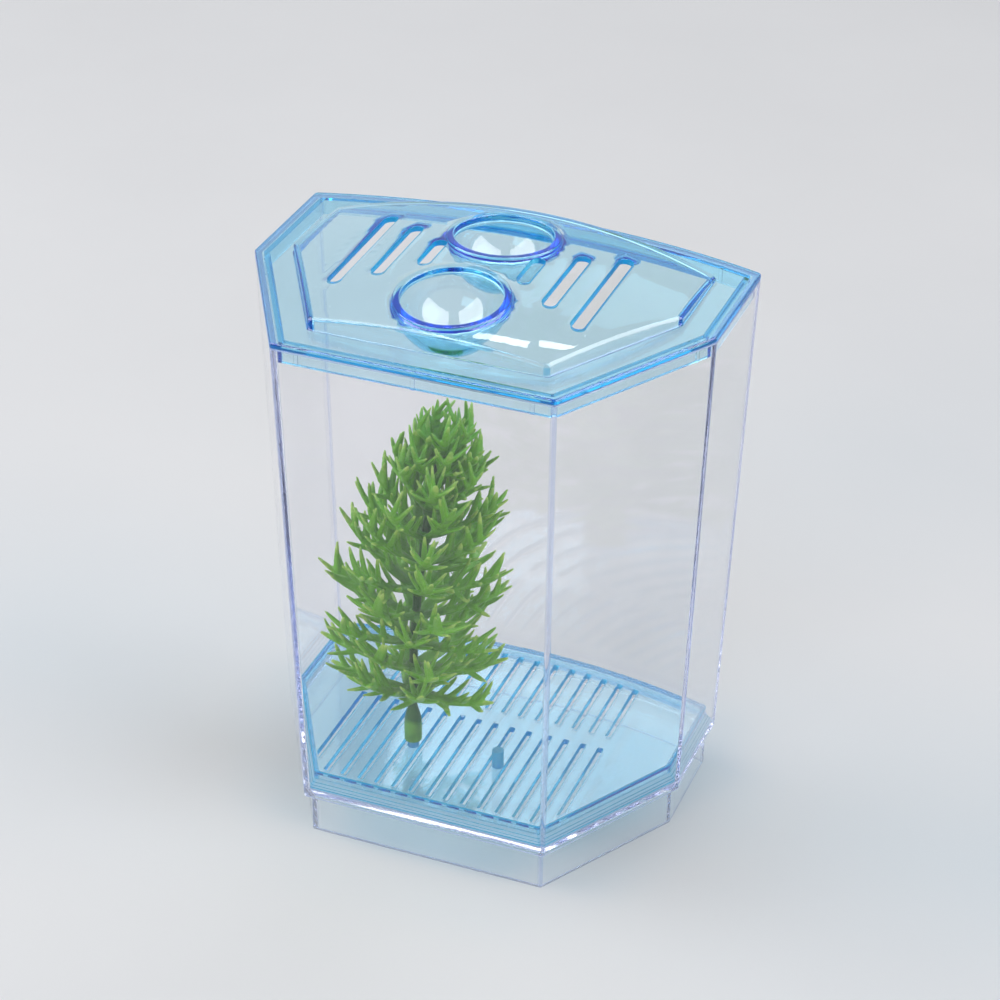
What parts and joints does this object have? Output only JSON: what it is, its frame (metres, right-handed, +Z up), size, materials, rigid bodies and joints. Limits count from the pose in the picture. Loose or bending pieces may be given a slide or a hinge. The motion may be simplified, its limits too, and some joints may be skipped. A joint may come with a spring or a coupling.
{
  "type": "fish breeding box",
  "caption": "Clear six-sided fish breeding box with a vented, domed lid that has two dishes, a raised slotted floor tray with pegs, and a leafy plastic plant on one peg.",
  "frame": {"origin": "middle of the footprint's bounding box, on the table", "axes": "+Z up, flat front face towards -Y, bowed back wall towards +Y, width along X"},
  "size_m": [0.14, 0.102, 0.182],
  "materials": {
    "clear_tank": "polished, clear with a faint violet edge tint",
    "blue_lid": "polished, see-through blue",
    "blue_tray": "polished, see-through blue",
    "stem_green": "satin, soft moulded plastic",
    "leaf_green": "satin, soft moulded plastic"
  },
  "bodies": {
    "tank": {"tank": "clear_tank"},
    "lid": {"lid": "blue_lid"},
    "tray": {"floor_tray": "blue_tray"},
    "plant": {"plant_stem": "stem_green", "leaf_tier_1": "leaf_green", "leaf_tier_2": "leaf_green", "leaf_tier_3": "leaf_green", "leaf_tier_4": "leaf_green", "leaf_tier_5": "leaf_green", "leaf_tier_6": "leaf_green", "leaf_tier_7": "leaf_green", "leaf_tier_8": "leaf_green", "leaf_tier_9": "leaf_green", "leaf_tip": "leaf_green"}
  },
  "joints": [
    {"name": "lid_lift", "type": "slide", "parent": "tank", "child": "lid", "axis": [0, 0, 1], "range_m": [0, 0.04]},
    {"name": "tray_lift", "type": "slide", "parent": "tank", "child": "tray", "axis": [0, 0, 1], "range_m": [0, 0.012]},
    {"name": "plant_lift", "type": "slide", "parent": "tray", "child": "plant", "axis": [0, 0, 1], "range_m": [0, 0.008]}
  ]
}
